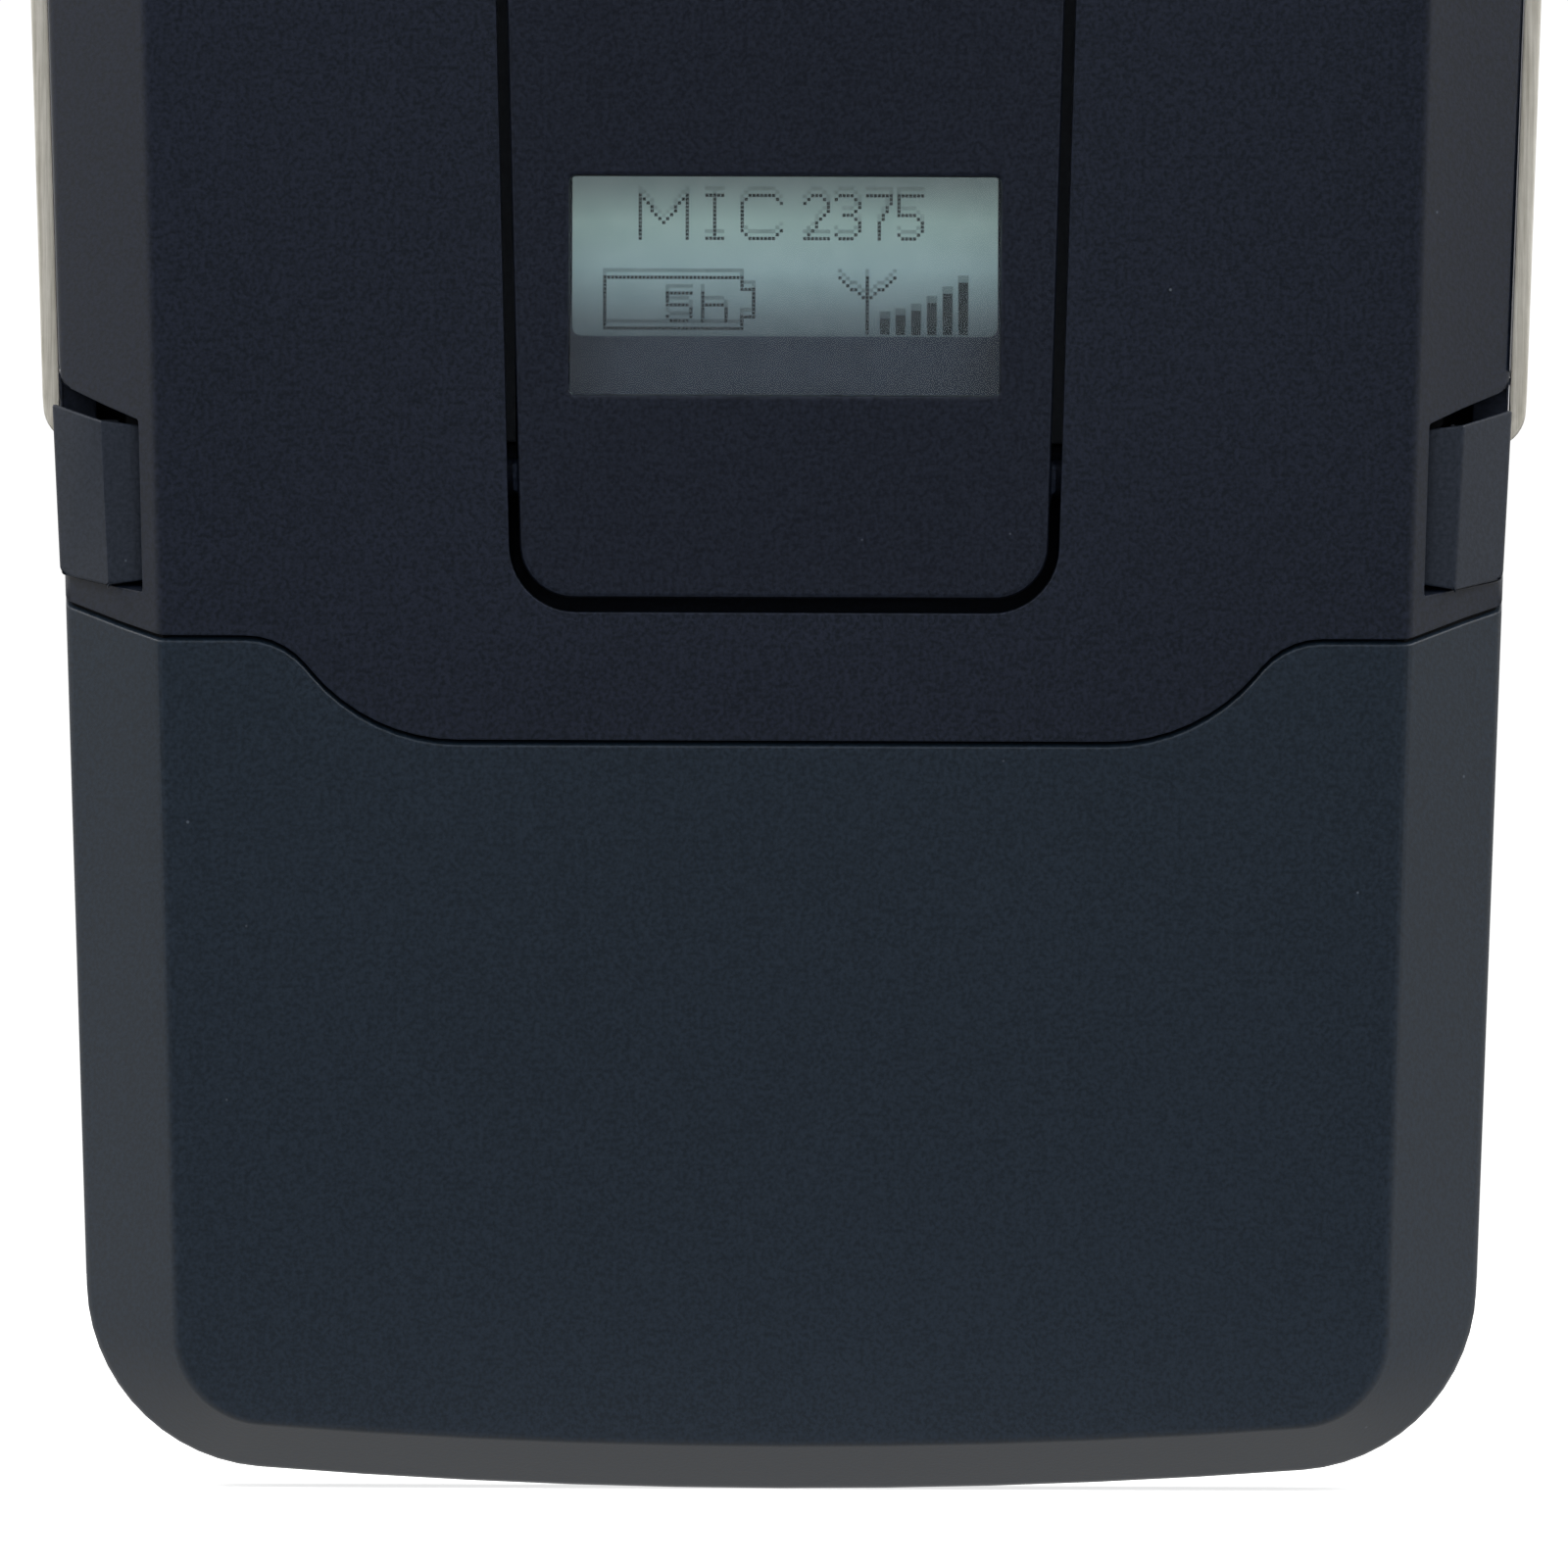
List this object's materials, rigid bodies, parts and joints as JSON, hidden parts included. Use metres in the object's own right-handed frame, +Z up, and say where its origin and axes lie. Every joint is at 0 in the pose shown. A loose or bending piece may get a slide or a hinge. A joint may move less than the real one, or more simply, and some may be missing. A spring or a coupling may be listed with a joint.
{
  "type": "wireless bodypack transmitter",
  "caption": "Slim tapered bodypack transmitter with a hinged display flap, slide-off battery pack with side catches, top microphone socket and steel belt clip.",
  "frame": {"origin": "bottom centre of the bounding box, on the surface the transmitter stands on", "axes": "+Z up along the height, front with the display flap faces -Y, +X to the viewer's right"},
  "size_m": [0.0646, 0.0262, 0.101],
  "materials": {
    "front_shell": "fine matte grain, near-black blue",
    "rear_shell": "fine matte grain, near-black blue",
    "control_plate": "satin dark grey",
    "lcd_frame": "dark slate",
    "lcd_glass": "grey-green liquid crystal panel",
    "lcd_backlight": "white light guide",
    "lcd_ribbon": "amber film",
    "button_board": "green solder mask",
    "tact_switches": "black",
    "main_board": "green solder mask",
    "board_chips": "black moulding",
    "rf_shield": "tinned steel",
    "antenna": "gilded strip",
    "contact_block": "black",
    "contact_pins": "gilded",
    "jack_bush": "nickel plated",
    "jack_nut": "nickel plated",
    "jack_socket": "black",
    "jack_contacts": "plated",
    "mute_switch": "black",
    "status_lens": "clear light guide",
    "board_screws": "zinc plated",
    "housing_screws": "blackened",
    "display_flap": "fine matte grain, near-black blue",
    "flap_window": "clear pane",
    "power_button": "grey",
    "set_button": "grey",
    "pair_button": "grey",
    "mute_slider": "grey",
    "release_button_left": "matte black",
    "release_button_right": "matte black",
    "belt_clip": "worn satin spring steel",
    "pack_front_shell": "fine matte grain, slightly lighter",
    "pack_rear_shell": "fine matte grain, slightly lighter",
    "battery_cell": "wrapped cell can",
    "cell_pad": "soft foam",
    "cell_tabs": "nickel strip",
    "pack_board": "green solder mask",
    "pack_chips": "black moulding",
    "pack_contacts": "gilded",
    "usb_socket": "tinned steel",
    "charge_lens": "clear light guide",
    "latch_arm_left": "black acetal",
    "latch_arm_right": "black acetal"
  },
  "bodies": {
    "housing": {"front_shell": "front_shell", "rear_shell": "rear_shell", "control_plate": "control_plate", "lcd_frame": "lcd_frame", "lcd_glass": "lcd_glass", "lcd_backlight": "lcd_backlight", "lcd_ribbon": "lcd_ribbon", "button_board": "button_board", "tact_switches": "tact_switches", "main_board": "main_board", "board_chips": "board_chips", "rf_shield": "rf_shield", "antenna": "antenna", "contact_block": "contact_block", "contact_pins": "contact_pins", "jack_bush": "jack_bush", "jack_nut": "jack_nut", "jack_socket": "jack_socket", "jack_contacts": "jack_contacts", "mute_switch": "mute_switch", "status_lens": "status_lens", "board_screws": "board_screws", "housing_screws": "housing_screws"},
    "flap": {"display_flap": "display_flap", "flap_window": "flap_window"},
    "power": {"power_button": "power_button"},
    "set": {"set_button": "set_button"},
    "pair": {"pair_button": "pair_button"},
    "mute": {"mute_slider": "mute_slider"},
    "release_left": {"release_button_left": "release_button_left"},
    "release_right": {"release_button_right": "release_button_right"},
    "clip": {"belt_clip": "belt_clip"},
    "pack": {"pack_front_shell": "pack_front_shell", "pack_rear_shell": "pack_rear_shell", "battery_cell": "battery_cell", "cell_pad": "cell_pad", "cell_tabs": "cell_tabs", "pack_board": "pack_board", "pack_chips": "pack_chips", "pack_contacts": "pack_contacts", "usb_socket": "usb_socket", "charge_lens": "charge_lens", "latch_arm_left": "latch_arm_left", "latch_arm_right": "latch_arm_right"}
  },
  "joints": [
    {"name": "flap_hinge", "type": "hinge", "parent": "housing", "child": "flap", "pos_m": [0, -0.01091, 0.042], "axis": [1, 0, 0], "range_deg": [0, 95]},
    {"name": "power_press", "type": "slide", "parent": "housing", "child": "power", "axis": [0, 1, 0], "range_m": [0, 0.0003], "stiffness_N_per_m": 4000},
    {"name": "set_press", "type": "slide", "parent": "housing", "child": "set", "axis": [0, 1, 0], "range_m": [0, 0.0003], "stiffness_N_per_m": 4000},
    {"name": "pair_press", "type": "slide", "parent": "housing", "child": "pair", "axis": [0, 1, 0], "range_m": [0, 0.0003], "stiffness_N_per_m": 4000},
    {"name": "mute_slide", "type": "slide", "parent": "housing", "child": "mute", "axis": [1, 0, 0], "range_m": [0, 0.0024]},
    {"name": "release_left_press", "type": "slide", "parent": "housing", "child": "release_left", "axis": [1, 0, 0], "range_m": [0, 0.0012], "stiffness_N_per_m": 2000},
    {"name": "release_right_press", "type": "slide", "parent": "housing", "child": "release_right", "axis": [-1, 0, 0], "range_m": [0, 0.001], "stiffness_N_per_m": 2000},
    {"name": "clip_rock", "type": "hinge", "parent": "housing", "child": "clip", "pos_m": [0, 0.00139, 0.0437], "axis": [1, 0, 0], "range_deg": [0, 5], "stiffness_Nm_per_rad": 1.5, "springref_deg": -5.73},
    {"name": "pack_slide", "type": "slide", "parent": "housing", "child": "pack", "axis": [0, 0, -1], "range_m": [0, 0.025], "deforming": ["latch_arm_left", "latch_arm_right"]}
  ]
}
